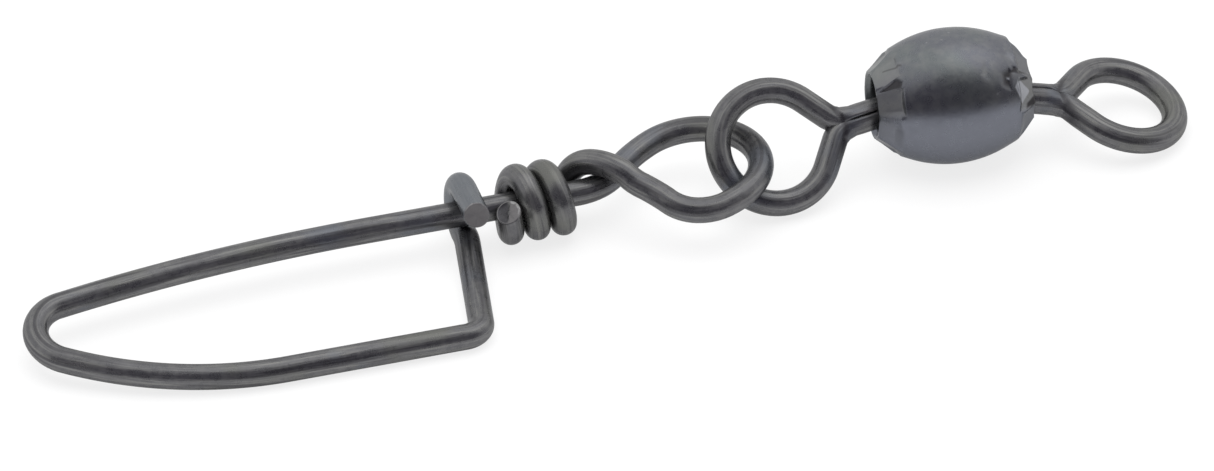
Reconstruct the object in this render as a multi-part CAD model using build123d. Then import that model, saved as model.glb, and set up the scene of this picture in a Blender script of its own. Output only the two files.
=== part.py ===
from build123d import *
import math
import os

# A barrel swivel with a wire snap hanging in one of its two eyes, lying on a flat surface.
# X runs along the barrel towards the line eye, Z is up, sizes are in millimetres.
# Every piece is placed from the middle of the barrel, and the last step moves them all so that
# the origin is the middle of the part's footprint, on the surface that it lies on.

# Spring wire, which all three bent pieces are made of
wire = 1.8
touching_gap = 0.05          # between two stretches of one wire that press on each other
cut_edge = 0.14

# Barrel
barrel_length = 11.2
barrel_diameter = 9.5
crimp_length = 1.35          # from the shoulder to the end of the barrel
belly_inset = 0.85           # from the shoulder to the round middle
shoulder_drop = 1.1          # how much lower the shoulder and the rim lie than the middle
rim_drop = 2.3
rim_round = 0.28
barrel_wall = 0.62
lip_depth = 0.9
hole_diameter = 4.3

# Marks of the jaws that close each end, the snap's end first
jaw_count = 8
jaw_widths = (1.95, 2.3)
jaw_length = 2.16
jaw_depths = (2.32, 1.98)    # from the barrel's axis to each flat, at the rim
jaw_slopes = (36.5, 45.0)    # degrees to the barrel's axis
jaw_turns = (10.0, 16.0)     # degrees from the top towards the front
jaw_shifts = (0.0, -0.18)    # how far the closing tool sat below the barrel's axis

# Swivel eyes
neck_diameter = 2.18
head_diameter = 4.9
head_thickness = 1.1
head_inset = 2.5             # head centre from the end of the barrel
neck_bend = 1.3
leg_offset = 0.4             # pressed legs from the eye's own axis
seam_width = 0.16
seam_depth = 0.12
crotch_fill = 0.9

snap_eye_neck = 4.85         # head centre to where the die stopped
snap_eye_reach = 5.4         # from there to the centre of the bight
snap_eye_bight = 4.0
snap_eye_yaw = 193.0
snap_eye_pitch = 3.55
snap_eye_roll = -44.0
snap_eye_drop = 0.26
snap_eye_aside = 0.1

line_eye_neck = 4.42
line_eye_reach = 5.2
line_eye_bight = 3.74
line_eye_yaw = 2.5
line_eye_pitch = 15.3
line_eye_roll = 6.5
line_eye_drop = 0.17
line_eye_aside = -0.4

# Snap, from the place where its hook crosses its shank
snap_x = -35.1
snap_y = -3.9
snap_yaw = 5.0
loop_width = 11.45           # between the middles of the shank and the lower leg, seen from above
nose_at = 29.3
upper_sweep_bend = 136.0
upper_sweep_turn = 9.5
lower_sweep_bend = 26.0
lower_sweep_turn = 34.5
corner_at = 2.3
corner_bend = 1.52
corner_turn = 79.0
square_bend = 6.0
hook_slack = 0.1
hook_turn = 182.0
hook_tail = 2.75

coil_start = 6.82            # the first underside of the coil, from the hook
coil_pitch = 1.89
coil_turns = 2.25
coil_end = 0.82              # straight end of the coil, to the middle of its slanting cut
coil_end_slant = 41.0
round_eye_at = 16.3
round_eye_aside = -0.38      # its centre from the shank's line, the near side being minus
round_eye_bight = 4.62
round_eye_rise = 0.95        # how much higher its far end lies than the shank
round_eye_leaves = 7.9       # where the wire leaves the shank's line

# What follows from those
wire_radius = wire / 2
wrap_radius = wire + touching_gap
shank_height = wire_radius + wrap_radius
hook_bend = wire + hook_slack
barrel_height = barrel_diameter / 2
half_barrel = barrel_length / 2
shoulder_at = half_barrel - crimp_length
barrel_belly = shoulder_at - belly_inset
head_at = half_barrel - head_inset
round_eye_slope = round_eye_rise / (2 * round_eye_bight)

ALONG = Vector(1, 0, 0)
UP = Vector(0, 0, 1)


class BentWire:
    """A round wire laid out as it is bent: straight runs, bends about an axis, and free arcs."""

    def __init__(self, diameter, start, heading):
        self.diameter = diameter
        self.at = Vector(*start)
        self.heading = Vector(*heading).normalized()
        self.pieces = []

    def section(self):
        return Plane(origin=self.at, z_dir=self.heading) * Circle(self.diameter / 2)

    def cut_end(self):
        """The end face that the cutter leaves, with its edge broken."""
        face = Plane(origin=self.at, z_dir=self.heading)
        edge = Cone(self.diameter / 2, self.diameter / 2 - cut_edge, cut_edge,
                    align=(Align.CENTER, Align.CENTER, Align.MIN))
        self.pieces.append(face * edge)

    def slanting_end(self, length, slant, aside):
        """A straight end before the start, cut off at a slant so that its face leans aside."""
        outwards = -self.heading
        stub = Cylinder(self.diameter / 2, 2 * length, align=(Align.CENTER, Align.CENTER, Align.MIN))
        leaning = outwards + aside * math.tan(math.radians(slant))
        cut = Plane(origin=self.at + outwards * length, z_dir=leaning)
        stub = split(Plane(origin=self.at, z_dir=outwards) * stub, bisect_by=cut, keep=Keep.BOTTOM)
        self.pieces.append(stub)

    def straight(self, length):
        self.pieces.append(extrude(self.section(), length))
        self.at = self.at + self.heading * length

    def bend(self, axis, radius, angle):
        """Turn the wire by an angle about an axis that lies beside it."""
        centre = self.at + axis.cross(self.heading) * radius
        turning = Axis(centre, axis)
        self.pieces.append(revolve(self.section(), turning, angle))
        self.at = centre + (self.at - centre).rotate(Axis((0, 0, 0), axis), angle)
        self.heading = self.heading.rotate(Axis((0, 0, 0), axis), angle)

    def arc_to(self, end):
        """One bend that starts along the wire and ends at a point."""
        chord = end - self.at
        angle = math.radians(self.heading.get_angle(chord))
        axis = self.heading.cross(chord).normalized()
        self.bend(axis, chord.length / (2 * math.sin(angle)), 2 * math.degrees(angle))

    def reach(self, end, heading):
        """Two bends that meet smoothly and arrive at a point with a heading."""
        chord = end - self.at
        both = self.heading + heading
        spread = 2 * (1 - self.heading.dot(heading))
        along = chord.dot(both)
        arm = (math.sqrt(along ** 2 + spread * chord.dot(chord)) - along) / spread
        meeting = (self.at + self.heading * arm + end - heading * arm) * 0.5
        self.arc_to(meeting)
        self.arc_to(end)

    def follow(self, points, heading):
        """Bends through all the points, smooth from each to the next."""
        route = [self.at] + [Vector(*point) for point in points]
        for before, here, after in zip(route, route[1:], route[2:]):
            self.reach(here, (after - before).normalized())
        self.reach(route[-1], heading.normalized())

    def solid(self):
        return Part() + self.pieces


def swivel_eye(neck, reach, bight):
    """One swivel eye, its head centre at the origin and its shank along X."""
    rise = leg_offset + neck_bend
    away = math.hypot(reach, rise)
    leaning = math.degrees(math.asin((neck_bend + bight) / away) - math.atan2(rise, reach))
    run = math.sqrt(away ** 2 - (neck_bend + bight) ** 2)
    loop = BentWire(wire, (neck, leg_offset, 0), ALONG)
    loop.bend(UP, neck_bend, leaning)
    loop.straight(run)
    loop.bend(-UP, bight, 180 + 2 * leaning)
    loop.straight(run)
    loop.bend(UP, neck_bend, leaning)
    eye = loop.solid()
    shank = Rot(0, 90, 0) * Cylinder(
        neck_diameter / 2, neck + crotch_fill, align=(Align.CENTER, Align.CENTER, Align.MIN))
    head = Rot(0, 90, 0) * Cylinder(head_diameter / 2, head_thickness)
    head = fillet(head.edges(), head_thickness * 0.4)
    eye = eye + shank + head
    seam = Box(neck, seam_width, seam_depth * 2, align=(Align.MIN, Align.CENTER, Align.CENTER))
    for side in (1, -1):
        eye -= Pos(head_thickness, 0, side * neck_diameter / 2) * seam
    return eye


def snap_eye():
    place = Pos(-head_at, snap_eye_aside, barrel_height - snap_eye_drop)
    return place * Rot(0, 0, snap_eye_yaw) * Rot(0, snap_eye_pitch, 0) * Rot(snap_eye_roll, 0, 0)


def line_eye():
    place = Pos(head_at, line_eye_aside, barrel_height - line_eye_drop)
    return place * Rot(0, 0, line_eye_yaw) * Rot(0, line_eye_pitch, 0) * Rot(line_eye_roll, 0, 0)


def barrel_profile(inset, end):
    """Half section of the barrel's outside, or of its cavity when set in by the wall."""
    top = barrel_height - inset
    shoulder = top - shoulder_drop
    belly = shoulder + belly_inset * (rim_drop - shoulder_drop) / (2 * crimp_length)
    outline = [
        ThreePointArc((-barrel_belly, belly), (0, top), (barrel_belly, belly)),
        Polyline((barrel_belly, belly), (shoulder_at, shoulder), end, (end[0], 0),
                 (-end[0], 0), (-end[0], end[1]), (-shoulder_at, shoulder), (-barrel_belly, belly)),
    ]
    return make_face(Wire(outline[0].edges() + outline[1].edges()))


def jaw_marks(width, depth, slope, turn, shift):
    """What the ring of jaws presses away round the end at +X."""
    jaw = Box(jaw_length + wire, width, jaw_length, align=(Align.MIN, Align.CENTER, Align.MIN))
    mark = Pos(half_barrel, 0, depth) * Rot(0, slope, 0) * Pos(-jaw_length, 0, 0) * jaw
    ring = [Rot(turn + 360 * place / jaw_count, 0, 0) * mark for place in range(jaw_count)]
    return Pos(0, 0, shift) * (Part() + ring)


def barrel():
    shell = revolve(barrel_profile(0, (half_barrel, barrel_height - rim_drop)), Axis.X)
    rims = shell.edges().group_by(Axis.X)
    shell = fillet(rims[0] + rims[-1], rim_round)
    tools = zip(jaw_widths, jaw_depths, jaw_slopes, jaw_turns, jaw_shifts)
    left, right = (jaw_marks(*tool) for tool in tools)
    shell = shell - mirror(left, Plane.YZ) - right
    inner_end = (half_barrel - lip_depth, hole_diameter / 2)
    cavity = revolve(barrel_profile(barrel_wall, inner_end), Axis.X)
    bore = Rot(0, 90, 0) * Cylinder(hole_diameter / 2, barrel_length + wire)
    return Pos(0, 0, barrel_height) * (shell - cavity - bore)


def round_eye_point(turn):
    """A point of the round eye, turn degrees clockwise from the side of the coil."""
    angle = math.radians(turn)
    ahead = round_eye_bight * (1 - math.cos(angle))
    return (round_eye_at - round_eye_bight + ahead,
            round_eye_aside + round_eye_bight * math.sin(angle),
            shank_height + ahead * round_eye_slope)


def round_eye_heading(turn):
    angle = math.radians(turn)
    return Vector(math.sin(angle), math.cos(angle), math.sin(angle) * round_eye_slope)


def over_shank(onward, lean, lift):
    """A point above the shank, onward from the coil's start and leaning to the far side."""
    angle = math.radians(lean)
    reach = wrap_radius + lift
    return coil_start + onward, reach * math.sin(angle), shank_height + reach * math.cos(angle)


def coil_point(turn, ahead=0.0):
    """A point of the coil, turn degrees on from its first underside."""
    angle = math.radians(turn)
    return (coil_start + ahead - coil_pitch * turn / 360,
            -wrap_radius * math.sin(angle), shank_height - wrap_radius * math.cos(angle))


def coil_heading(turn):
    angle = math.radians(turn)
    climb = coil_pitch / (2 * math.pi * wrap_radius)
    return Vector(-climb, -math.cos(angle), math.sin(angle))


def loop_and_hook(snap):
    """Bend the long loop, its corner and the hook that catches the shank."""
    fall = shank_height - wire_radius
    slant = math.hypot(loop_width, fall)
    leaning = Vector(0, -fall / slant, loop_width / slant)
    upper = math.radians(upper_sweep_turn)
    lower = math.radians(lower_sweep_turn)
    sweeps = upper_sweep_bend * (1 - math.cos(upper)) + lower_sweep_bend * (1 - math.cos(lower))
    nose_bend = (slant - sweeps) / (math.cos(upper) + math.cos(lower))
    upper_start = -nose_at + (upper_sweep_bend - nose_bend) * math.sin(upper)
    lower_end = -nose_at + (lower_sweep_bend - nose_bend) * math.sin(lower)
    snap.straight(snap.at.X - upper_start)
    snap.bend(leaning, upper_sweep_bend, upper_sweep_turn)
    snap.bend(leaning, nose_bend, 180 - upper_sweep_turn - lower_sweep_turn)
    snap.bend(leaning, lower_sweep_bend, lower_sweep_turn)
    turn = math.radians(corner_turn)
    snap.straight(-corner_at - corner_bend * math.tan(turn / 2) - lower_end)
    snap.bend(UP, corner_bend, corner_turn)
    across = loop_width - corner_bend * (1 - math.cos(turn)) - square_bend * math.cos(turn)
    snap.straight(across / math.sin(turn))
    snap.bend(UP, square_bend, 90 - corner_turn)
    snap.bend(ALONG, hook_bend, hook_turn)
    snap.straight(hook_tail)


def snap_wire():
    """The whole snap, one wire from the cut end of the coil to the cut end of the hook."""
    last = round(360 * coil_turns)
    snap = BentWire(wire, coil_point(last), -coil_heading(last))
    coil = [coil_point(turn) for turn in range(last - 45, -1, -45)]
    curl = [over_shank(0.35, 137, 0.0), over_shank(0.85, 95, 0.05), over_shank(1.55, 56, 0.1),
            over_shank(2.5, 22, 0.12), over_shank(3.8, -16, 0.08), over_shank(5.2, -60, 0.45)]
    round_eye = [round_eye_point(turn) for turn in range(284, 63, -55)]
    snap.slanting_end(coil_end, coil_end_slant, -ALONG)
    snap.follow(coil + curl + round_eye, -round_eye_heading(64))
    snap.reach(Vector(round_eye_leaves, 0, shank_height), -ALONG)
    loop_and_hook(snap)
    snap.cut_end()
    return Pos(snap_x, snap_y, 0) * Rot(0, 0, snap_yaw) * snap.solid()


def main():
    os.makedirs("parts", exist_ok=True)
    nodes = {
        "snap_wire": snap_wire(),
        "snap_eye": snap_eye() * swivel_eye(snap_eye_neck, snap_eye_reach, snap_eye_bight),
        "barrel": barrel(),
        "line_eye": line_eye() * swivel_eye(line_eye_neck, line_eye_reach, line_eye_bight),
    }
    box = Compound(list(nodes.values())).bounding_box()
    middle = box.center()
    to_origin = Pos(-middle.X, -middle.Y, -box.min.Z)
    for name, solid in nodes.items():
        export_step(to_origin * solid, f"parts/{name}.step")


main()
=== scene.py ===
import math

import bmesh
import bpy
from mathutils import Matrix, Vector, noise


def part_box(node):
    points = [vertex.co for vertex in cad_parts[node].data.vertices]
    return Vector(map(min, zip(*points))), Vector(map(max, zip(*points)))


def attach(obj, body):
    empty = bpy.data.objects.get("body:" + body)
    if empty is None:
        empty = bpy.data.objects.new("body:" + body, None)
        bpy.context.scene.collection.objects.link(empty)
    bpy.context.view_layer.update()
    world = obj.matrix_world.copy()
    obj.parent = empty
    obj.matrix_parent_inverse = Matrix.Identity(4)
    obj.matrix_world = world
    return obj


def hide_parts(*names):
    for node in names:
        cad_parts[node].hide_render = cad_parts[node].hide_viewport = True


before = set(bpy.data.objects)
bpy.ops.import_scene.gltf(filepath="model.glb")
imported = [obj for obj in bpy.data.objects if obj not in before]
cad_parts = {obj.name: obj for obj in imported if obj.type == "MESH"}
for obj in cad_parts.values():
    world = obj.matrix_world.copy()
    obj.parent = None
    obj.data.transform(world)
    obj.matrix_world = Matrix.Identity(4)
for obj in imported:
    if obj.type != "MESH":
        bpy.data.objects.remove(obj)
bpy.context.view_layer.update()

# A snap swivel: a sprung wire snap, and a crimped barrel with two eyes that turn in it.
# Pieces are drawn in millimetres, from a middle of their own. When a mesh is finished, it is
# placed from the point on the table under the barrel's middle, in the frame's metres.

millimetre = 0.001
barrelLow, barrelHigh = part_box("barrel")
barrelSpot = Vector(((barrelLow[0] + barrelHigh[0]) / 2, (barrelLow[1] + barrelHigh[1]) / 2,
                     barrelLow[2]))
intoFrame = Matrix.Translation(barrelSpot) @ Matrix.Scale(millimetre, 4)
along = Vector((1, 0, 0))
up = Vector((0, 0, 1))


class Value:
    # a node's output that can be written in an expression
    def __init__(self, finish, socket):
        self.finish = finish
        self.socket = socket

    def worked(self, operation, first, second):
        return self.finish.node("ShaderNodeMath", {"operation": operation}, {0: first, 1: second})

    def __add__(self, other):
        return self.worked("ADD", self, other)

    def __sub__(self, other):
        return self.worked("SUBTRACT", self, other)

    def __rsub__(self, other):
        return self.worked("SUBTRACT", other, self)

    def __mul__(self, other):
        return self.worked("MULTIPLY", self, other)

    __radd__ = __add__
    __rmul__ = __mul__


class Finish:
    # a node tree being put together, for a material or for the world
    # sockets that share a name are given by their number
    def __init__(self, owner):
        owner.use_nodes = True
        self.tree = owner.node_tree
        self.tree.nodes.clear()

    def node(self, kind, settings=None, inputs=None, output=0):
        made = self.tree.nodes.new(kind)
        for name, value in (settings or {}).items():
            setattr(made, name, value)
        for name, value in (inputs or {}).items():
            if isinstance(value, Value):
                self.tree.links.new(value.socket, made.inputs[name])
            else:
                made.inputs[name].default_value = value
        return Value(self, made.outputs[output]) if made.outputs else None

    def attribute(self, name, output="Fac"):
        return self.node("ShaderNodeAttribute", {"attribute_name": name}, None, output)

    def dot(self, first, second):
        return self.node("ShaderNodeVectorMath", {"operation": "DOT_PRODUCT"},
                         {0: first, 1: second}, "Value")

    def span(self, value, low, high, toLow=0.0, toHigh=1.0):
        return self.node("ShaderNodeMapRange", {"interpolation_type": "SMOOTHSTEP"},
                         {0: value, 1: low, 2: high, 3: toLow, 4: toHigh})

    def noise(self, where, scale, detail, rough):
        return self.node("ShaderNodeTexNoise", None,
                         {"Vector": where, "Scale": scale, "Detail": detail, "Roughness": rough})

    def stretched(self, where, scale):
        return self.node("ShaderNodeMapping", None, {"Vector": where, "Scale": scale})

    def mixed(self, mask, first, second):
        return self.node("ShaderNodeMix", {"data_type": "RGBA"}, {0: mask, 6: first, 7: second}, 2)

    def layered(self, colour, masks, look):
        for mask, low, high, share, tone in look["layers"]:
            colour = self.mixed(self.span(masks[mask], low, high) * share, colour, look[tone])
        return colour

    def bump(self, height, depth, strength, over=None):
        given = {"Height": height, "Distance": depth, "Strength": strength}
        if over is not None:
            given["Normal"] = over
        return self.node("ShaderNodeBump", None, given)

    def metal(self, colour, roughness, normal, metallic=0.8, rim=0.6):
        shader = self.node("ShaderNodeBsdfPrincipled", None, {
            "Base Color": colour, "Roughness": roughness, "Normal": normal,
            "Metallic": metallic, "Specular Tint": (rim, rim, rim, 1)})
        self.node("ShaderNodeOutputMaterial", None, {"Surface": shader})


def newFinish(name):
    material = bpy.data.materials.new(name)
    return material, Finish(material)


wireLook = {
    "dark": (0.116, 0.116, 0.122, 1),
    "light": (0.158, 0.157, 0.160, 1),
    "blue": (0.128, 0.138, 0.160, 1),
    "olive": (0.150, 0.152, 0.138, 1),
    # painted sheen: the streaks left by drawing the wire, made lighter as a painted highlight
    "paintedSheen": (0.225, 0.225, 0.215, 1),
    "line": (0.060, 0.059, 0.064, 1),
    # painted light: paler and bluer towards the hook's end, for the light falling on the hook
    "paintedHookLight": (0.168, 0.182, 0.200, 1),
    "bare": (0.165, 0.160, 0.163, 1),
    # painted highlight on the lips and burrs of cut ends, brighter than their bare metal
    "lipHighlight": (0.34, 0.34, 0.34, 1),
    "broad": (190.0, 2.0, 0.55),          # scale, detail and roughness of each noise
    "fine": (1700.0, 5.0, 0.62),
    "grain": (9000.0, 3.0, 0.6),
    "drawn": (1.0, 3.0, 0.6),
    "dieMark": (1.0, 1.0, 0.5),
    "drawnStretch": (0.22, 5.5, 5.5),     # along the wire and across it
    "dieStretch": (0.12, 3.1, 3.1),
    "lightSpan": (0.40, 0.60),            # where dark gives way to light in the mottling
    "layers": (                           # mask, its value at none and at full, share, colour
        # the drawing streaks lightened as a painted sheen
        ("drawn", 0.50, 0.66, 0.6, "paintedSheen"),
        ("broad", 0.54, 0.72, 0.7, "blue"),
        ("broad", 0.46, 0.28, 0.7, "olive"),
        ("dieMark", 0.56, 0.66, 0.6, "line"),
        # the hook's end painted lighter and bluer
        ("travel", -10.0, -6.0, 0.7, "paintedHookLight"),    # millimetres back from the hook's end
    ),
    # share of the line colour for torn faces and for the painted shade at eyes' shoulders
    "tornAndShadeShare": 0.85,
    "lipSpan": (1.2, 2.0),
    "smooth": 0.25,
    "rough": 0.38,
    "roughSpan": (0.3, 0.75),
    "bareRough": 0.45,
    "grainBump": (0.00001, 0.2),          # metres and strength
    "fineBump": (0.00004, 0.2),
    "drawnBump": (0.00004, 0.45),
}


def makeWireFinish():
    look = wireLook
    material, make = newFinish("spring_wire")
    place = make.node("ShaderNodeTexCoord", None, None, "Object")
    onWire = make.attribute("wirePlace", "Vector")
    bare = make.attribute("bare")         # 1 is a cut face; above 1 the painted highlight of lips and burrs; below 0 darker where torn, and painted shade at an eye's shoulder
    fine = make.noise(place, *look["fine"])
    grain = make.noise(place, *look["grain"])
    drawn = make.noise(make.stretched(onWire, look["drawnStretch"]), *look["drawn"])
    masks = {
        "drawn": drawn,
        "broad": make.noise(place, *look["broad"]),
        "dieMark": make.noise(make.stretched(onWire, look["dieStretch"]), *look["dieMark"]),
        "travel": make.node("ShaderNodeSeparateXYZ", None, {0: onWire}),
    }
    mottled = fine * 0.5 + drawn * 0.5
    colour = make.mixed(make.span(mottled, *look["lightSpan"]), look["dark"], look["light"])
    colour = make.layered(colour, masks, look)
    colour = make.mixed(bare, colour, look["bare"])
    # below 0, the torn side of a cut face and the painted shade at an eye's shoulder darken
    # towards the line colour
    colour = make.mixed(bare * -look["tornAndShadeShare"], colour, look["line"])
    # above 1, the painted highlight on lips and burrs
    colour = make.mixed(make.span(bare, *look["lipSpan"]), colour, look["lipHighlight"])
    roughness = make.span(fine, *look["roughSpan"], look["smooth"], look["rough"])
    roughness = make.span(bare, 0.0, 1.0, roughness, look["bareRough"])
    normal = make.bump(grain, *look["grainBump"])
    normal = make.bump(fine, *look["fineBump"], normal)
    normal = make.bump(drawn, *look["drawnBump"], normal)
    make.metal(colour, roughness, normal)
    return material


barrelLook = {
    "oxide": (0.150, 0.163, 0.168, 1),
    "oxideBlue": (0.138, 0.143, 0.162, 1),
    # painted reflection of the floor: paler and bluer on the barrel's lower side
    "underside": (0.152, 0.160, 0.186, 1),
    "pressed": (0.27, 0.27, 0.26, 1),
    "speck": (0.30, 0.30, 0.31, 1),
    # painted shade, in the dents and over the barrel's middle; it also darkens the scratches
    "paintedShading": (0.030, 0.028, 0.030, 1),
    # painted highlight on bright facets and bumps
    "paintedHighlight": (0.36, 0.37, 0.40, 1),
    "broad": (230.0, 2.0, 0.55),          # scale, detail and roughness of each noise
    "fine": (1500.0, 5.0, 0.6),
    "grain": (9000.0, 3.0, 0.6),
    "specks": (2600.0, 1.0, 0.4),
    "scratches": (1.0, 2.0, 0.5),
    "scratchStretch": (350.0, 5200.0, 800.0),
    "blueSpan": (0.38, 0.62),
    "layers": (                           # mask, its value at none and at full, share, colour
        ("fine", 0.40, 0.68, 0.25, "pressed"),
        ("specks", 0.765, 0.80, 0.6, "speck"),
    ),
    # painted shade over the barrel's middle, strongest below shadeFrom and gone past shadeTo
    "shadeAcross": (0.0, 0.588, 0.809),   # towards the top of the picture
    "shadeFrom": -0.0005,                 # where it starts to fade, past the middle line
    "shadeTo": 0.0030,                    # where it ends
    "shadeShare": 0.40,
    "undersideDepth": 0.0012,
    "rippleTurn": (0.6, 0.5, 0.9),
    "rippleWaves": {"Scale": 1080.0, "Distortion": 3.0, "Detail": 2.0},
    "rippleShare": 0.45,
    "pressedShare": 0.6,
    "scratchSpan": (0.62, 0.70),
    "scratchShare": 0.5,
    "highlightShare": 0.75,
    "smooth": 0.26,
    "rough": 0.38,
    "roughSpan": (0.3, 0.75),
    "pressedRough": 0.06,
    "grainBump": (0.00001, 0.3),          # metres and strength
    "fineBump": (0.00004, 0.4),
    "scratchBump": (0.00002, 0.6),
    "rippleBump": (0.00005, 0.8),
}


def barrelMiddle(across):
    # where the barrel's middle line lies, measured along a way across it
    return barrelSpot.y * across[1] + (barrelLow[2] + barrelHigh[2]) / 2 * across[2]


def makeBarrelFinish():
    look = barrelLook
    material, make = newFinish("barrel_shell")
    place = make.node("ShaderNodeTexCoord", None, None, "Object")
    pressed = make.attribute("pressed")
    paintedShading = make.attribute("paintedShading")           # 1 is painted shade in a hollow, below 0 a painted highlight on dents and facets
    ripple = make.attribute("ripple")
    broad = make.noise(place, *look["broad"])
    fine = make.noise(place, *look["fine"])
    grain = make.noise(place, *look["grain"])
    specks = make.noise(place, *look["specks"])
    scratches = make.noise(make.stretched(place, look["scratchStretch"]), *look["scratches"])
    tilted = make.node("ShaderNodeMapping", None,
                       {"Vector": place, "Rotation": look["rippleTurn"]})
    waves = make.node("ShaderNodeTexWave", None, {"Vector": tilted, **look["rippleWaves"]}, "Fac")
    colour = make.mixed(make.span(broad, *look["blueSpan"]), look["oxide"], look["oxideBlue"])
    colour = make.layered(colour, {"fine": fine, "specks": specks}, look)
    shade = make.dot(place, look["shadeAcross"])
    shadeFrom = barrelMiddle(look["shadeAcross"]) + look["shadeFrom"]
    shadeTo = barrelMiddle(look["shadeAcross"]) + look["shadeTo"]
    # painted shade across the barrel's middle, fading out towards its top
    shaded = make.span(shade, shadeFrom, shadeTo, look["shadeShare"], 0.0)
    # painted reflection of the floor over the barrel's lower side
    under = make.span(shade, shadeFrom, shadeFrom - look["undersideDepth"])
    scratched = pressed * make.span(scratches, *look["scratchSpan"])
    colour = make.mixed(shaded, colour, look["paintedShading"])
    colour = make.mixed(under, colour, look["underside"])
    colour = make.mixed(ripple * waves * look["rippleShare"], colour, look["pressed"])
    colour = make.mixed(pressed * look["pressedShare"], colour, look["pressed"])
    colour = make.mixed(scratched * look["scratchShare"], colour, look["paintedShading"])
    # painted shade in the dents
    colour = make.mixed(paintedShading, colour, look["paintedShading"])
    # a negative share paints a highlight on facets and bumps
    colour = make.mixed(paintedShading * -look["highlightShare"], colour, look["paintedHighlight"])
    roughness = make.span(fine, *look["roughSpan"], look["smooth"], look["rough"])
    roughness = roughness + pressed * look["pressedRough"]
    normal = make.bump(grain, *look["grainBump"])
    normal = make.bump(fine, *look["fineBump"], normal)
    normal = make.bump(scratches * pressed, *look["scratchBump"], normal)
    normal = make.bump(waves * ripple, *look["rippleBump"], normal)
    make.metal(colour, roughness, normal)
    return material


def smoothed(value, low, high):
    share = min(1.0, max(0.0, (value - low) / (high - low)))
    return share * share * (3 - 2 * share)


def vertexLayer(kind, name):
    return kind.get(name) or kind.new(name)


def edgesOf(verts):
    # each edge once, in the order of the points
    return list(dict.fromkeys(edge for vert in verts for edge in vert.link_edges))


wire = {
    "diameter": 1.8,
    "touchingGap": 0.05,
    "sides": 40,
    "bendStep": 0.3,
    "bendTurn": 6.0,             # degrees at most from ring to ring
    "straightEase": 4,           # a straight run has steps so many times longer
}
cut = {
    "hookEdge": 0.06,
    "coilEdge": 0.09,
    "edgeTurns": (22, 45, 68, 90),        # degrees round the edge at each ring
    "bareTurns": (30, 80),                # degrees where it starts to be bare, and is
    "burr": 0.03,
    "burrTurn": 68,                       # the ring that the burr stands on
    "burrGrain": 3.1,
    "burrReach": (0.0, 0.7),
    # how much painted highlight the burr gets over its bare metal
    "burrHighlight": 1.4,
    "burrEven": 0.7,
    "faceRings": (0.95, 0.9, 0.9, 0.85, 0.8, 0.7, 0.5),
    "unevenness": 0.008,
    "unevenGrain": 2.3,
    "tear": 0.03,
    "tearReach": (-0.1, 0.1),
    "tearGrain": 4.7,
    "tearDark": (2.4, 0.8),               # evenly, and by its grain
    # a painted highlight along the face's lip, on the burr's side
    "lipRings": 2,
    "lipReach": (0.3, 0.8),
    "lipShine": 0.9,
}


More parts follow.
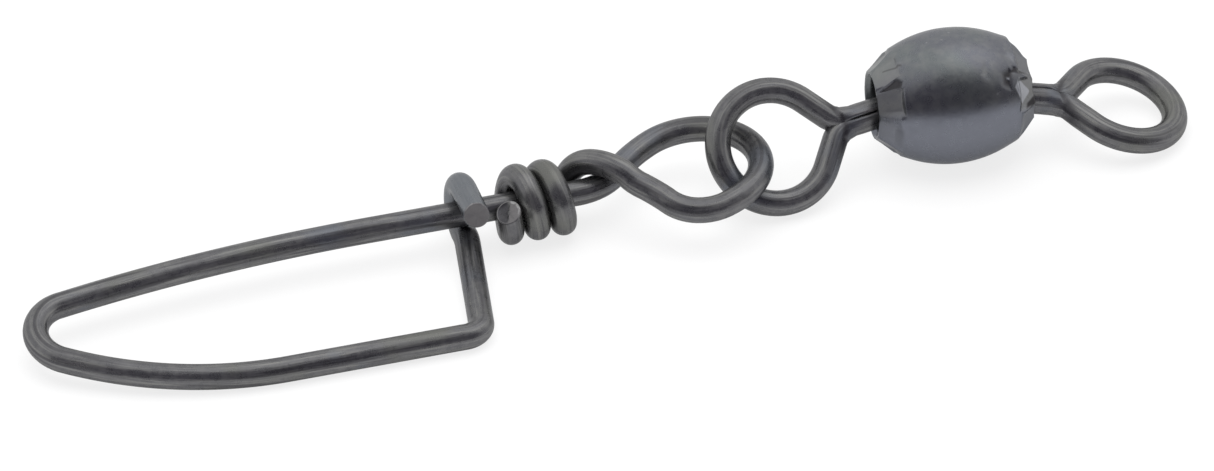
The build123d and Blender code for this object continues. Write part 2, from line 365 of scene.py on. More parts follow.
class BentWire:
    # a round wire laid out as it is bent, one ring of points after another
    def __init__(self, bm, start, heading):
        # each point keeps how far along the wire it lies, and where round it
        self.bm = bm
        self.place = vertexLayer(bm.verts.layers.float_vector, "wirePlace")
        self.bare = vertexLayer(bm.verts.layers.float, "bare")
        self.at = Vector(start)
        self.heading = Vector(heading).normalized()
        self.travel = 0.0
        self.radius = wire["diameter"] / 2
        self.bendStep = wire["bendStep"]
        turn = self.heading.to_track_quat("Z", "Y").to_matrix().to_4x4()
        ring = bmesh.ops.create_circle(bm, radius=self.radius, segments=wire["sides"])["verts"]
        for vert in ring:
            vert[self.place] = Vector((0.0, vert.co.x, vert.co.y))
        bmesh.ops.transform(bm, matrix=Matrix.Translation(self.at) @ turn, verts=ring)
        self.rim = edgesOf(ring)
        self.firstRim = list(self.rim)

    def grown(self, rim, move):
        made = bmesh.ops.extrude_edge_only(self.bm, edges=rim)["geom"]
        verts = [item for item in made if isinstance(item, bmesh.types.BMVert)]
        bmesh.ops.transform(self.bm, matrix=move, verts=verts)
        fresh = set(verts)
        return [edge for edge in edgesOf(verts) if fresh.issuperset(edge.verts)], verts

    def goOn(self, move, steps, length):
        for _ in range(steps):
            self.rim, verts = self.grown(self.rim, move)
            self.travel += length / steps
            for vert in verts:
                vert[self.place].x = self.travel

    def straight(self, length):
        steps = max(1, round(length / (wire["straightEase"] * self.bendStep)))
        self.goOn(Matrix.Translation(self.heading * length / steps), steps, length)
        self.at = self.at + self.heading * length

    def bend(self, axis, radius, degrees):
        angle = math.radians(degrees)
        centre = self.at + axis.cross(self.heading) * radius
        steps = max(radius * angle / self.bendStep, degrees / wire["bendTurn"])
        steps = max(2, math.ceil(steps))
        turn = (Matrix.Translation(centre) @ Matrix.Rotation(angle / steps, 4, axis)
                @ Matrix.Translation(-centre))
        self.goOn(turn, steps, radius * angle)
        whole = Matrix.Rotation(angle, 3, axis)
        self.at = centre + whole @ (self.at - centre)
        self.heading = whole @ self.heading

    def arcTo(self, end):
        chord = end - self.at
        angle = self.heading.angle(chord)
        axis = self.heading.cross(chord).normalized()
        self.bend(axis, chord.length / (2 * math.sin(angle)), 2 * math.degrees(angle))

    def reach(self, end, heading):
        # two bends that meet smoothly and arrive at a point with a heading
        chord = end - self.at
        both = self.heading + heading
        spread = 2 * (1 - self.heading.dot(heading))
        onward = chord.dot(both)
        arm = (math.sqrt(onward ** 2 + spread * chord.dot(chord)) - onward) / spread
        meeting = (self.at + self.heading * arm + end - heading * arm) * 0.5
        self.arcTo(meeting)
        self.arcTo(end)

    def follow(self, points, heading):
        route = [self.at] + [Vector(point) for point in points]
        for before, here, after in zip(route, route[1:], route[2:]):
            self.reach(here, (after - before).normalized())
        self.reach(route[-1], heading.normalized())

    def measureFrom(self, end):
        # the places along the wire are counted back from its last point
        for vert in self.bm.verts:
            vert[self.place].x += end - self.travel

    def lean(self, rim, at, outwards, aside):
        # slide an open end's points along the wire until its face leans aside
        facing = outwards + Vector(aside)
        for vert in {vert for edge in rim for vert in edge.verts}:
            vert.co -= outwards * ((vert.co - at).dot(facing) / outwards.dot(facing))
        return at, facing.normalized()

    def closeEnd(self, rim, end, edge, burrSide, cutSide=None):
        rim, far = self.roundEdge(rim, end, edge, burrSide)
        self.fillFace(rim, end, far, burrSide, cutSide)

    def roundEdge(self, rim, end, edge, burrSide):
        # the cutter leaves a slightly rounded edge, and a burr on one side of it, painted bright:
        # bare metal with a painted highlight
        at, outwards = end
        size, far = self.radius, 0.0
        for turn in cut["edgeTurns"]:
            narrow = self.radius - edge * (1 - math.cos(math.radians(turn)))
            onward = edge * math.sin(math.radians(turn))
            move = (Matrix.Translation(at + outwards * onward) @ Matrix.Scale(narrow / size, 4)
                    @ Matrix.Translation(-at - outwards * far))
            rim, verts = self.grown(rim, move)
            size, far = narrow, onward
            for vert in verts:
                vert[self.bare] = smoothed(turn, *cut["bareTurns"])
                side = smoothed((vert.co - at).normalized().dot(burrSide), *cut["burrReach"])
                if turn == cut["burrTurn"]:
                    grain = noise.noise(vert.co * cut["burrGrain"])
                    vert.co += outwards * side * cut["burr"] * (1 + grain)
                if turn > cut["bareTurns"][0]:
                    grain = noise.noise(vert.co * cut["burrGrain"])
                    vert[self.bare] += cut["burrHighlight"] * side * (cut["burrEven"] + grain)
        return rim, far

    def fillFace(self, rim, end, far, burrSide, cutSide):
        # away from the cutter's side the wire was torn: lower and rough, and coloured darker; by
        # the burr the face's lip gets a painted highlight
        at, outwards = end
        centre = at + outwards * far
        evenDark, roughDark = cut["tearDark"]
        for ring, narrow in enumerate(cut["faceRings"]):
            shrink = (Matrix.Translation(centre) @ Matrix.Scale(narrow, 4)
                      @ Matrix.Translation(-centre))
            rim, verts = self.grown(rim, shrink)
            for vert in verts:
                away = vert.co - centre
                torn = lipHighlight = 0.0
                if cutSide:
                    torn = smoothed(-away.dot(cutSide), *cut["tearReach"])
                if cutSide and ring < cut["lipRings"]:
                    lipHighlight = smoothed(away.normalized().dot(burrSide), *cut["lipReach"])
                rough = noise.noise(vert.co * cut["tearGrain"])
                uneven = cut["unevenness"] * noise.noise(vert.co * cut["unevenGrain"])
                vert.co += outwards * (uneven - cut["tear"] * torn)
                vert[self.bare] = (1 - (evenDark + roughDark * rough) * torn * (1 - lipHighlight)
                                   + lipHighlight * (cut["lipShine"] + rough))
        bmesh.ops.edgeloop_fill(self.bm, edges=rim)


def newObject(name, data):
    made = bpy.data.objects.new(name, data)
    bpy.context.scene.collection.objects.link(made)
    return made


def newMeshObject(name, bm, material):
    mesh = bpy.data.meshes.new(name)
    bm.to_mesh(mesh)
    bm.free()
    mesh.materials.append(material)
    return newObject(name, mesh)


def finishPiece(bm, name, node, body, material, placement):
    bmesh.ops.transform(bm, matrix=intoFrame @ placement, verts=bm.verts)
    low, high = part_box(node)
    for vert in bm.verts:
        # a few microns of rounding are drawn back into the part's own box
        inBox = [min(max(place, least), most) for place, least, most in zip(vert.co, low, high)]
        vert.co = Vector(inBox)
    bmesh.ops.recalc_face_normals(bm, faces=bm.faces)
    for face in bm.faces:
        face.smooth = True
    piece = newMeshObject(name, bm, material)
    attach(piece, body)
    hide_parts(node)
    print(name, "made,", len(piece.data.polygons), "faces")


def turned(yaw, pitch=0.0, roll=0.0):
    return (Matrix.Rotation(math.radians(yaw), 4, "Z")
            @ Matrix.Rotation(math.radians(pitch), 4, "Y")
            @ Matrix.Rotation(math.radians(roll), 4, "X"))


# the snap's square end, where the hook crosses over the shank, lies near its own zero
snap = {
    "spot": (-35.1, -3.9, 0.0),
    "yaw": 5.0,
    "loopWidth": 11.45,
    "noseAt": 29.3,
    "upperSweep": (136.0, 9.5),      # radius and degrees
    "lowerSweep": (26.0, 34.5),
    "cornerAt": 2.3,
    "corner": (1.52, 79.0),
    "squareBend": 6.0,
    "hookSlack": 0.1,
    "hookTurn": 182.0,
    "hookTail": 2.83,
    "hookFaceLean": (-0.12, 0.0, 0.3),
    "coilStart": 6.82,
    "coilPitch": 1.89,
    "coilTurns": 2.25,
    "coilStep": 45,                  # degrees from point to point
    "coilEnd": 0.82,                 # to the middle of its cut
    "coilEndLean": (-0.2, -0.33, 0.0),
    "coilBurrSide": (0.6, 0, 0.8),
    "coilCutSide": (0.93, -0.37, 0),
    # how far on from the coil, degrees round the shank, and how far above a close wrap
    "curl": ((0.35, 137, 0.0), (0.85, 95, 0.05), (1.55, 56, 0.1),
             (2.5, 22, 0.12), (3.8, -16, 0.08), (5.2, -60, 0.45)),
    "eyeAt": 16.3,
    "eyeAside": -0.38,
    "eyeBight": 4.62,
    "eyeRise": 0.95,
    "eyeTurns": (284, 229, 174, 119, 64),    # degrees of its points, in the wire's order
    "eyeLeaves": 7.9,
}
wrapRadius = wire["diameter"] + wire["touchingGap"]
shankHeight = wire["diameter"] / 2 + wrapRadius


def eyePoint(turn):
    angle = math.radians(turn)
    ahead = snap["eyeBight"] * (1 - math.cos(angle))
    return Vector((snap["eyeAt"] - snap["eyeBight"] + ahead,
                   snap["eyeAside"] + snap["eyeBight"] * math.sin(angle),
                   shankHeight + ahead * snap["eyeRise"] / (2 * snap["eyeBight"])))


def eyeHeading(turn):
    angle = math.radians(turn)
    slope = snap["eyeRise"] / (2 * snap["eyeBight"])
    return Vector((math.sin(angle), math.cos(angle), math.sin(angle) * slope))


def overShank(onward, lean, lift):
    angle = math.radians(lean)
    far = wrapRadius + lift
    return Vector((snap["coilStart"] + onward,
                   far * math.sin(angle), shankHeight + far * math.cos(angle)))


def coilPoint(turn):
    angle = math.radians(turn)
    return Vector((snap["coilStart"] - snap["coilPitch"] * turn / 360,
                   -wrapRadius * math.sin(angle), shankHeight - wrapRadius * math.cos(angle)))


def coilHeading(turn):
    angle = math.radians(turn)
    climb = snap["coilPitch"] / (2 * math.pi * wrapRadius)
    return Vector((-climb, -math.cos(angle), math.sin(angle)))


def bendLoopAndHook(form):
    fall = shankHeight - wire["diameter"] / 2
    slant = math.hypot(snap["loopWidth"], fall)
    leaning = Vector((0, -fall / slant, snap["loopWidth"] / slant))
    upperBend, upperTurn = snap["upperSweep"]
    lowerBend, lowerTurn = snap["lowerSweep"]
    upper, lower = math.radians(upperTurn), math.radians(lowerTurn)
    sweeps = upperBend * (1 - math.cos(upper)) + lowerBend * (1 - math.cos(lower))
    noseBend = (slant - sweeps) / (math.cos(upper) + math.cos(lower))
    upperStart = -snap["noseAt"] + (upperBend - noseBend) * math.sin(upper)
    lowerEnd = -snap["noseAt"] + (lowerBend - noseBend) * math.sin(lower)
    form.straight(form.at.x - upperStart)
    form.bend(leaning, upperBend, upperTurn)
    form.bend(leaning, noseBend, 180 - upperTurn - lowerTurn)
    form.bend(leaning, lowerBend, lowerTurn)
    cornerBend, cornerTurn = snap["corner"]
    turn = math.radians(cornerTurn)
    form.straight(-snap["cornerAt"] - cornerBend * math.tan(turn / 2) - lowerEnd)
    form.bend(up, cornerBend, cornerTurn)
    across = snap["loopWidth"] - cornerBend * (1 - math.cos(turn))
    across = across - snap["squareBend"] * math.cos(turn)
    form.straight(across / math.sin(turn))
    form.bend(up, snap["squareBend"], 90 - cornerTurn)
    form.bend(along, wire["diameter"] + snap["hookSlack"], snap["hookTurn"])
    form.straight(snap["hookTail"])


def makeSnap():
    bm = bmesh.new()
    last, step = round(360 * snap["coilTurns"]), snap["coilStep"]
    onward = -coilHeading(last).normalized()
    stub = snap["coilEnd"] - cut["coilEdge"]
    form = BentWire(bm, coilPoint(last) - onward * stub, onward)
    coilFace = form.lean(form.firstRim, form.at, -onward, snap["coilEndLean"])
    form.straight(stub)
    coil = [coilPoint(turn) for turn in range(last - step, -1, -step)]
    curl = [overShank(*place) for place in snap["curl"]]
    roundEye = [eyePoint(turn) for turn in snap["eyeTurns"]]
    form.follow(coil + curl + roundEye, -eyeHeading(snap["eyeTurns"][-1]))
    form.reach(Vector((snap["eyeLeaves"], 0, shankHeight)), -along)
    bendLoopAndHook(form)
    form.measureFrom(0.0)
    hookFace = form.lean(form.rim, form.at, form.heading, snap["hookFaceLean"])
    burrSide, cutSide = Vector(snap["coilBurrSide"]), Vector(snap["coilCutSide"])
    form.closeEnd(form.firstRim, coilFace, cut["coilEdge"], burrSide, cutSide)
    form.closeEnd(form.rim, hookFace, cut["hookEdge"], up)
    placement = Matrix.Translation(snap["spot"]) @ turned(snap["yaw"])
    finishPiece(bm, "sprung_snap", "snap_wire", "snap", wireFinish, placement)


# both eyes of the swivel are pressed with the same tools, and differ in size
eye = {
    "neckDiameter": 2.18,
    "neckBend": 1.3,
    "neckRuns": 8,                   # enough rings for the press to shape
    "bendStep": 0.2,
    "legOffset": 0.4,
    "seam": 0.07,
    "waver": 0.03,                   # how uneven the pressed legs are
    "waverGrain": 1.9,
    "pressedTo": (-0.2, 0.15),       # from the neck's end: half round before, round after
    "burr": 0.06,
    "burrGrain": 5.3,
    "burrHighlight": 3.0,
    "burrReach": (0.1, 0.4),         # from the seam
    "burrFrom": 2.8,                 # outside the barrel only
    "burrFade": 0.3,
    "shoulderSlant": 0.35,
    "shoulderFrom": (-0.25, 0.05),
    "shoulderTo": (0.2, 0.5),
    "shoulderDent": 0.08,
    # painted shade beneath the shoulder's step
    "shoulderShade": 1.1,
    "headDiameter": 4.9,
    "headThickness": 1.1,
    "headRound": 0.35,               # a share of its thickness
    "headSides": 48,
    "placesEnd": -50.0,              # far from the places painted lighter near the hook's end
}
# spot and turns place each eye: turns are yaw, pitch and roll
snapEye = {
    "neck": 4.85, "reach": 5.4, "bight": 4.0,
    "spot": (-3.1, 0.1, 4.49), "turns": (193.0, 3.55, -44.0),
}
lineEye = {
    "neck": 4.42, "reach": 5.2, "bight": 3.74,
    "spot": (3.1, -0.4, 4.58), "turns": (2.5, 15.3, 6.5),
}


def bendEye(form, facts):
    reach, bight, neckBend = facts["reach"], facts["bight"], eye["neckBend"]
    rise = eye["legOffset"] + neckBend
    away = math.hypot(reach, rise)
    leaning = math.degrees(math.asin((neckBend + bight) / away) - math.atan2(rise, reach))
    run = math.sqrt(away ** 2 - (neckBend + bight) ** 2)
    for _ in range(eye["neckRuns"]):
        form.straight(facts["neck"] / eye["neckRuns"])
    form.bend(up, neckBend, leaning)
    form.straight(run)
    form.bend(-up, bight, 180 + 2 * leaning)
    form.straight(run)
    form.bend(up, neckBend, leaning)
    for _ in range(eye["neckRuns"]):
        form.straight(facts["neck"] / eye["neckRuns"])


def pressLegs(form, neck):
    # each leg is pressed to a half round against the seam between them
    middle = form.travel / 2
    half, seam = eye["neckDiameter"] / 2, eye["seam"] / 2
    halfRoundTo, roundFrom = [neck + place for place in eye["pressedTo"]]
    for vert in form.bm.verts:
        share = 1 - smoothed(vert.co.x, halfRoundTo, roundFrom)
        side = 1 if vert[form.place].x < middle else -1
        across = vert.co.y * side
        if share > 0:
            flat = max(across, seam)
            outer = half / max(math.hypot(max(across, 0.0), vert.co.z), 0.01)
            if across > seam:
                target = Vector((vert.co.x, side * max(flat * outer, seam), vert.co.z * outer))
            else:
                height = vert.co.z * half / wire["diameter"] * 2
                target = Vector((vert.co.x, side * flat, height))
            burr = 1 - smoothed(across, *eye["burrReach"])
            burr *= smoothed(vert.co.x, eye["burrFrom"], eye["burrFrom"] + eye["burrFade"])
            rough = noise.noise(vert.co * eye["burrGrain"])
            target.y += side * eye["waver"] * noise.noise(vert.co * eye["waverGrain"])
            target.z += math.copysign(eye["burr"] * burr * rough, target.z)
            vert.co = vert.co.lerp(target, share)
            # the burr shows bare metal, and where it stands highest a painted highlight
            vert[form.bare] = share * burr * max(0.0, rough) * eye["burrHighlight"]
        # the die leaves a dented step at the shoulder, with painted shade beneath it
        onward = vert.co.x - neck - eye["shoulderSlant"] * abs(across)
        dent = smoothed(onward, *eye["shoulderFrom"]) * (1 - smoothed(onward, *eye["shoulderTo"]))
        vert[form.bare] -= eye["shoulderShade"] * dent
        vert.co.z *= 1 - eye["shoulderDent"] * dent


def makeHead(bm):
    # the upset head that turns inside the barrel
    radius = eye["headDiameter"] / 2
    head = bmesh.ops.create_cone(bm, cap_ends=True, segments=eye["headSides"], radius1=radius,
                                 radius2=radius, depth=eye["headThickness"])["verts"]
    bmesh.ops.rotate(bm, verts=head, matrix=Matrix.Rotation(math.pi / 2, 3, "Y"))
    rims = [edge for edge in edgesOf(head) if abs(edge.verts[0].co.x - edge.verts[1].co.x) < 0.01]
    bmesh.ops.bevel(bm, geom=rims, offset=eye["headThickness"] * eye["headRound"], segments=4,
                    profile=0.5, affect="EDGES", material=-1)


def makeEye(name, node, body, facts):
    bm = bmesh.new()
    form = BentWire(bm, (0, eye["legOffset"], 0), along)
    form.bendStep = eye["bendStep"]
    bendEye(form, facts)
    pressLegs(form, facts["neck"])
    bmesh.ops.edgeloop_fill(bm, edges=form.firstRim)
    bmesh.ops.edgeloop_fill(bm, edges=form.rim)
    form.measureFrom(eye["placesEnd"])
    makeHead(bm)
    placement = Matrix.Translation(facts["spot"]) @ turned(*facts["turns"])
    finishPiece(bm, name, node, body, wireFinish, placement)


barrel = {
    "length": 11.2,
    "diameter": 9.5,
    "crimpLength": 1.35,
    "bellyInset": 0.85,
    "shoulderDrop": 1.1,
    "rimDrop": 2.3,
    "rimRound": 0.28,
    "wall": 0.62,
    "cornerInset": 0.2,          # of the cavity, from the crimp's start
    "lipDepth": 0.9,
    "holeDiameter": 4.3,
    "holeRound": 0.14,
    "flare": 32.0,               # degrees that the hole's edge spreads
    "flareLength": 0.3,
    "around": 384,
    "crimpEdge": 0.05,           # lengths of mesh edges
    "bellyEdge": 0.16,
    "throatEdge": 0.2,
    "cavityEndEdge": 0.5,
    "cavityEdge": 1.0,
    "skinDepth": 0.5,            # a share of the wall that still counts as outer skin
    "skinLength": 1.02,          # a share of the crimped end, with a little to spare
    "skinSlant": 0.55,
    "pressedReach": 5.2,         # as far in from an end as its marks are looked for
}
# the tools that crimped the ends: -1 is the snap's end, and 1 the line's
jaws = {
    "length": 2.16,
    "tipBlend": 0.7,
    "tipFade": -0.07,
    "steepest": 0.3,
    "rubbed": 0.05,              # depth at which a mark is bright all over
    "crisp": 0.3,                # its two edges' softness together, past which it is duller
    # how soft the two edges of each mark round the end are: worn marks have blurred edges
    -1: {"width": 1.95, "depth": 2.32, "slope": 36.5, "turn": 10.0, "shift": 0.0,
         "soft": ((0.4, 0.13), (0.13, 0.7), (0.8, 0.9), (0.5, 0.4),
                  (0.2, 0.3), (0.6, 0.5), (0.15, 0.2), (0.35, 0.3))},
    1: {"width": 2.3, "depth": 1.98, "slope": 45.0, "turn": 16.0, "shift": -0.18,
        "soft": ((0.5, 0.3), (0.15, 0.25), (0.8, 0.8), (0.5, 0.4),
                 (0.2, 0.2), (0.5, 0.6), (0.18, 0.2), (0.6, 0.5))},
}
# small dents, with painted shade in them and painted highlights where the share is negative:
# corners are millimetres in from the end and degrees round from the top
dents = (
    {"end": -1, "depth": 0.2, "soft": 0.2, "paintedShading": 0.85,
     "corners": ((-0.1, 37), (0.5, 31), (1.35, 25), (1.8, 33), (1.6, 41))},
    {"end": -1, "depth": 0.1, "soft": 0.25, "paintedShading": 0.2,
     "corners": ((-0.2, 28), (0.5, 26), (0.7, 33), (-0.2, 40))},
    {"end": -1, "depth": 0.03, "soft": 0.08, "paintedShading": 0.5,
     "corners": ((0.7, 2), (1.9, 12), (1.9, 16), (0.6, 5))},
    {"end": 1, "depth": 0.09, "soft": 0.25, "paintedShading": 0.85,
     "corners": ((0.3, 32), (1.75, 29), (2.0, 38), (1.2, 41))},
    {"end": 1, "depth": 0.14, "soft": 0.45, "paintedShading": 0.9,
     "corners": ((1.5, 36), (2.0, 30), (2.75, 37), (2.75, 52), (2.0, 58))},
    {"end": 1, "depth": -0.04, "soft": 0.2, "paintedShading": -1.9,
     "corners": ((1.95, 42), (2.3, 41), (2.35, 46), (2.0, 48))},
    {"end": 1, "depth": 0.02, "soft": 0.1, "paintedShading": -1.0,
     "corners": ((1.3, 42), (1.75, 53), (1.2, 76), (0.3, 62))},
    {"end": 1, "depth": 0.12, "soft": 0.25, "paintedShading": 0.95,
     "corners": ((-0.2, 70), (0.9, 77), (1.0, 86), (-0.2, 90))},
    {"end": 1, "depth": 0.04, "soft": 0.4, "paintedShading": -0.25,
     "corners": ((1.2, 14), (1.9, 10), (2.4, 20), (1.5, 29))},
)
ripple = {"end": 1, "soft": 0.6, "corners": ((3.0, 26), (3.9, 24), (4.4, 40), (3.3, 52))}


class Outline:
    # a chain of edges in the XZ plane, drawn tip first, that is spun about X
    def __init__(self, bm, start):
        self.bm = bm
        self.tip = bm.verts.new(start)

    def lineTo(self, end, size):
        start = self.tip.co.copy()
        steps = max(1, math.ceil((end - start).length / size))
        for step in range(1, steps + 1):
            self.tip = bmesh.ops.extrude_vert_indiv(self.bm, verts=[self.tip])["verts"][0]
            self.tip.co = start.lerp(end, step / steps)

    def arcTo(self, centre, degrees, size):
        length = (self.tip.co - centre).length * math.radians(abs(degrees))
        made = bmesh.ops.spin(self.bm, geom=[self.tip], cent=centre, axis=(0, 1, 0),
                              angle=math.radians(degrees), steps=max(2, math.ceil(length / size)))
        self.tip = next(item for item in made["geom_last"] if isinstance(item, bmesh.types.BMVert))


def drawBarrelHalf(bm, end):
    # outside of one half, from the middle to the hole, and on into the cavity
    half, top = barrel["length"] / 2, barrel["diameter"] / 2
    fine, wall = barrel["crimpEdge"], barrel["wall"]
    shoulderAt = half - barrel["crimpLength"]
    bellyAt = shoulderAt - barrel["bellyInset"]
    shoulder, rim = top - barrel["shoulderDrop"], top - barrel["rimDrop"]
    fall = (shoulder - rim) / barrel["crimpLength"]
    belly = shoulder + barrel["bellyInset"] * fall / 2
    bulge = ((top - belly) ** 2 + bellyAt ** 2) / (2 * (top - belly))
    sweep = math.degrees(math.asin(bellyAt / bulge))
    draw = Outline(bm, (0, 0, top))
    draw.arcTo(Vector((0, 0, top - bulge)), sweep * end, barrel["bellyEdge"])
    draw.lineTo(Vector((end * shoulderAt, 0, shoulder)), fine)
    steep, rimRound = math.atan(fall), barrel["rimRound"]
    setback = rimRound * math.tan((math.pi / 2 - steep) / 2)
    roundAt = half - setback * math.cos(steep)
    draw.lineTo(Vector((end * roundAt, 0, rim + setback * math.sin(steep))), fine)
    roundCentre = Vector((end * (half - rimRound), 0, rim - setback))
    draw.arcTo(roundCentre, end * (90 - math.degrees(steep)), fine)
    edge, flare = barrel["holeRound"], math.radians(barrel["flare"])
    hole = barrel["holeDiameter"] / 2
    draw.lineTo(Vector((end * half, 0, hole + edge)), fine)
    holeCentre = Vector((end * (half - edge), 0, hole + edge))
    draw.arcTo(holeCentre, end * (90 - barrel["flare"]), fine)
    inwards = Vector((-end * math.cos(flare), 0, -math.sin(flare)))
    draw.lineTo(draw.tip.co + inwards * barrel["flareLength"], fine)
    lipAt = half - barrel["lipDepth"]
    draw.lineTo(Vector((end * lipAt, 0, draw.tip.co.z)), barrel["throatEdge"])
    cornerAt = shoulderAt - barrel["cornerInset"]
    draw.lineTo(Vector((end * cornerAt, 0, shoulder - wall)), barrel["cavityEndEdge"])
    draw.lineTo(Vector((0, 0, top - wall)), barrel["cavityEdge"])


def inside(spot, corners):
    # how far in from the edges of a convex patch a spot lies
    depths = []
    for here, after in zip(corners, corners[1:] + corners[:1]):
        edge = (after[0] - here[0], after[1] - here[1])
        away = (spot[0] - here[0], spot[1] - here[1])
        depths.append((edge[0] * away[1] - edge[1] * away[0]) / math.hypot(*edge))
    return min(depths)


def patch(facts, girth):
    # corners in millimetres along and round the crimped end
    return [(inward, math.radians(turn) * girth) for inward, turn in facts["corners"]]


def pressJaws(verts, end, pressed):
    half, tool = barrel["length"] / 2, jaws[end]
    slope = math.radians(tool["slope"])
    tools = []
    for place, softness in enumerate(tool["soft"]):
        turn = math.radians(tool["turn"] + 360 * place / len(tool["soft"]))
        outwards = Vector((0, -math.sin(turn), math.cos(turn)))
        across = Vector((0, math.cos(turn), math.sin(turn)))
        lift = Vector((end * math.sin(slope), 0, 0)) + outwards * math.cos(slope)
        tools.append((softness, outwards, across, lift))
    for vert in verts:
        for softness, outwards, across, lift in tools:
            spot = vert.co - Vector((0, 0, tool["shift"]))
            aside = spot.dot(across)
            soft = softness[0 if aside > 0 else 1]
            side = tool["width"] / 2 - abs(aside)
            if side < -soft / 2 or spot.dot(outwards) < 0:
                continue
            inward = half - spot.x * end
            above = spot.dot(outwards) - tool["depth"]
            height = above * math.cos(slope) - inward * math.sin(slope)
            run = inward * math.cos(slope) + above * math.sin(slope)
            worn = min(1.0, jaws["crisp"] / (softness[0] + softness[1]))
            tipShare = smoothed(jaws["length"] - run, jaws["tipFade"], min(softness))
            share = smoothed(side, -soft / 2, soft / 2) * tipShare
            if height <= 0 or share <= 0:
                continue
            # the tip gives way along the jaw's push, the flank only towards the middle line
            inwards = Vector((0, spot.y, spot.z)).normalized()
            flankPush = inwards / max(jaws["steepest"], inwards.dot(lift))
            push = lift.lerp(flankPush, smoothed(inward, 0.0, jaws["tipBlend"]))
            vert.co -= push * height * share
            rubbed = worn * share * smoothed(height, 0.0, jaws["rubbed"])
            vert[pressed] = max(vert[pressed], rubbed)


def pressDents(verts, end, paintedShading, rippled):
    half = barrel["length"] / 2
    girth = barrel["diameter"] / 2 - barrel["shoulderDrop"]
    patches = [(facts, patch(facts, girth)) for facts in dents if facts["end"] == end]
    rippleCorners = patch(ripple, girth)
    for vert in verts:
        outwards = Vector((0, vert.co.y, vert.co.z)).normalized()
        turn = math.atan2(-vert.co.y, vert.co.z)
        spot = (half - vert.co.x * end, turn * girth)
        for facts, corners in patches:
            depth = inside(spot, corners)
            if depth > 0:
                share = smoothed(depth, 0.0, facts["soft"])
                vert.co -= outwards * facts["depth"] * share
                # a positive share paints shade in the dent, a negative one a highlight
                vert[paintedShading] = max(-1.0, min(1.0, vert[paintedShading] + facts["paintedShading"] * share))
        if ripple["end"] == end:
            depth = inside(spot, rippleCorners)
            if depth > 0:
                vert[rippled] = smoothed(depth, 0.0, ripple["soft"])


def onSkin(co):
    # the skin that the tools reach: the flank, the crimped end and the hole's lip
    half, top, hole = barrel["length"] / 2, barrel["diameter"] / 2, barrel["holeDiameter"] / 2
    far, reach = abs(co.x), math.hypot(co.y, co.z)
    onFlank = reach > top - barrel["shoulderDrop"] - barrel["wall"] * barrel["skinDepth"]
    onCrimp = far > half - barrel["crimpLength"] * barrel["skinLength"]
    onCrimp = onCrimp and reach > hole + (half - far) * barrel["skinSlant"]
    onLip = far > half - barrel["flareLength"]
    return onFlank or onCrimp or onLip


def makeBarrel():
    bm = bmesh.new()
    pressed = bm.verts.layers.float.new("pressed")
    paintedShading = bm.verts.layers.float.new("paintedShading")
    rippled = bm.verts.layers.float.new("ripple")
    drawBarrelHalf(bm, -1)
    drawBarrelHalf(bm, 1)
    bmesh.ops.remove_doubles(bm, verts=bm.verts, dist=0.001)
    bmesh.ops.spin(bm, geom=bm.verts[:] + bm.edges[:], cent=(0, 0, 0), axis=(1, 0, 0),
                   angle=2 * math.pi, steps=barrel["around"], use_merge=True)
    skin = [vert for vert in bm.verts if onSkin(vert.co)]
    half, reach = barrel["length"] / 2, barrel["pressedReach"]
    for end in (-1, 1):
        verts = [vert for vert in skin if half - vert.co.x * end < reach]
        pressDents(verts, end, paintedShading, rippled)
        pressJaws(verts, end, pressed)
    placement = Matrix.Translation((0, 0, barrel["diameter"] / 2))
    finishPiece(bm, "swivel_barrel", "barrel", "barrel", barrelFinish, placement)


wireFinish = makeWireFinish()
barrelFinish = makeBarrelFinish()
print("finishes made")
makeSnap()
makeEye("snap_side_eye", "snap_eye", "snap_eye", snapEye)
makeEye("line_side_eye", "line_eye", "line_eye", lineEye)
makeBarrel()


studio = {
    "floorSize": 3.0,
    "floorColour": (0.86, 0.86, 0.86, 1),
    "floorGlow": 0.80,
    "floorMirrored": 0.55,
    "white": (1, 1, 1, 1),
    "lightSize": 0.7,
    "lightHeight": 0.55,
    "lightSide": (-0.05, 0.12, 1),
    "lightPower": 3.0,
    "softboxSide": (0.38, 0.20, 0.903),
    "softboxFrom": 0.88,
    "softboxTo": 0.97,
    "softboxGlow": 1.55,
    "paleSide": (0.0, 0.88, 0.33),
    "paleEnds": 0.35,
    "paleFrom": -0.07,
    "paleTo": 0.22,
    "roomDark": (0.135, 0.125, 0.165, 1),
    "roomPale": (1.0, 1.0, 1.0, 1),
}


def makeFloor():
    material, make = newFinish("pale_floor")
    matt = make.node("ShaderNodeBsdfDiffuse", None, {"Color": studio["floorColour"]})
    glow = make.node("ShaderNodeEmission", None, {"Color": studio["white"], "Strength": 1.0})
    seen = make.node("ShaderNodeLightPath", None, None, "Is Camera Ray")
    mirrored = make.node("ShaderNodeLightPath", None, None, "Is Glossy Ray")
    share = seen * studio["floorGlow"] + mirrored * studio["floorMirrored"]
    surface = make.node("ShaderNodeMixShader", None, {0: share, 1: matt, 2: glow})
    make.node("ShaderNodeOutputMaterial", None, {"Surface": surface})
    bm = bmesh.new()
    bmesh.ops.create_grid(bm, x_segments=2, y_segments=2, size=studio["floorSize"] / 2)
    floor = newMeshObject("floor", bm, material)


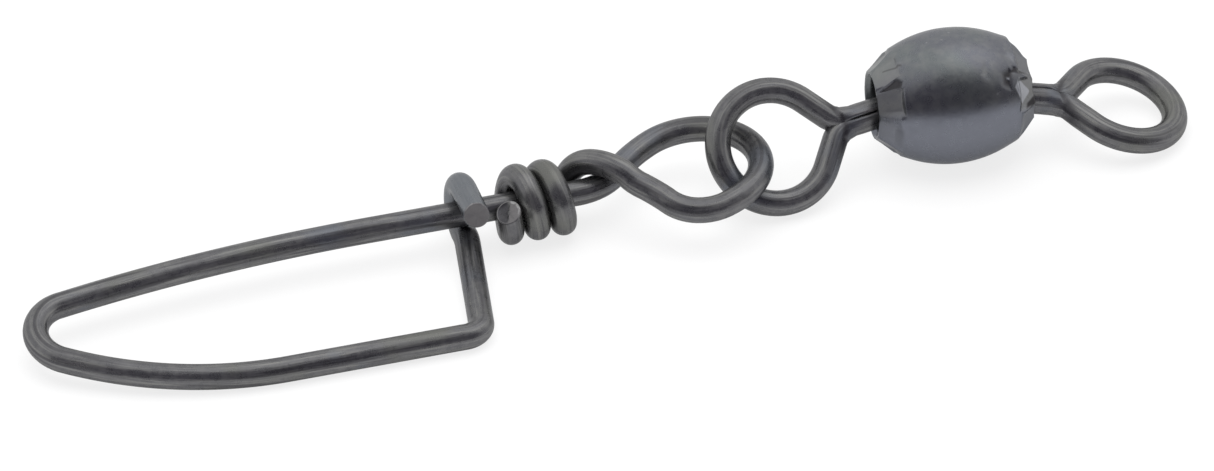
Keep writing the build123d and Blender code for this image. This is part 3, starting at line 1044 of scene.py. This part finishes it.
def makeRoom():
    # a pale room with a bright softbox, darker on the side that the camera stands on
    world = bpy.data.worlds.new("room")
    bpy.context.scene.world = world
    make = Finish(world)
    direction = make.node("ShaderNodeTexCoord", None, None, "Generated")
    sideways = make.node("ShaderNodeSeparateXYZ", None, {0: direction})
    ends = make.node("ShaderNodeMath", {"operation": "ABSOLUTE"}, {0: sideways})
    pale = make.dot(direction, studio["paleSide"]) + ends * studio["paleEnds"]
    pale = make.span(pale, studio["paleFrom"], studio["paleTo"])
    colour = make.mixed(pale, studio["roomDark"], studio["roomPale"])
    softbox = make.dot(direction, studio["softboxSide"])
    strength = make.span(softbox, studio["softboxFrom"], studio["softboxTo"],
                         1.0, studio["softboxGlow"])
    seen = make.node("ShaderNodeLightPath", None, None, "Is Camera Ray")
    strength = strength * (1 - seen) + seen
    surface = make.node("ShaderNodeBackground", None, {
        "Color": make.mixed(seen, colour, studio["white"]), "Strength": strength})
    make.node("ShaderNodeOutputWorld", None, {"Surface": surface})


def makeLight():
    lamp = bpy.data.lights.new("softbox", "AREA")
    lamp.shape = "DISK"
    lamp.size = studio["lightSize"]
    lamp.energy = studio["lightPower"]
    light = newObject("softbox", lamp)
    light.visible_glossy = False
    light.location = Vector(studio["lightSide"]).normalized() * studio["lightHeight"]
    light.rotation_mode = "QUATERNION"
    light.rotation_quaternion = light.location.to_track_quat("Z", "Y")


view = {
    "azimuth": -12.0,
    "elevation": 36.0,
    "aim": (-0.00004, 0.00165, 0.0),
    "frameWidth": 0.08401,
    "lens": 600.0,               # almost no perspective; a longer one leaves other views empty
    "sensor": 36.0,
    "clipStart": 0.01,
}


def makeCamera():
    side, lift = math.radians(view["azimuth"]), math.radians(view["elevation"])
    towards = Vector((math.sin(side) * math.cos(lift), -math.cos(side) * math.cos(lift),
                      math.sin(lift)))
    data = bpy.data.cameras.new("camera")
    data.lens = view["lens"]
    data.sensor_width = view["sensor"]
    data.clip_start = view["clipStart"]
    camera = newObject("camera", data)
    distance = view["frameWidth"] * view["lens"] / view["sensor"]
    camera.location = Vector(view["aim"]) + towards * distance
    camera.rotation_mode = "QUATERNION"
    camera.rotation_quaternion = towards.to_track_quat("Z", "Y")
    bpy.context.scene.camera = camera


makeFloor()
makeRoom()
makeLight()
makeCamera()
bpy.context.scene.view_settings.view_transform = "Standard"
print("studio set")
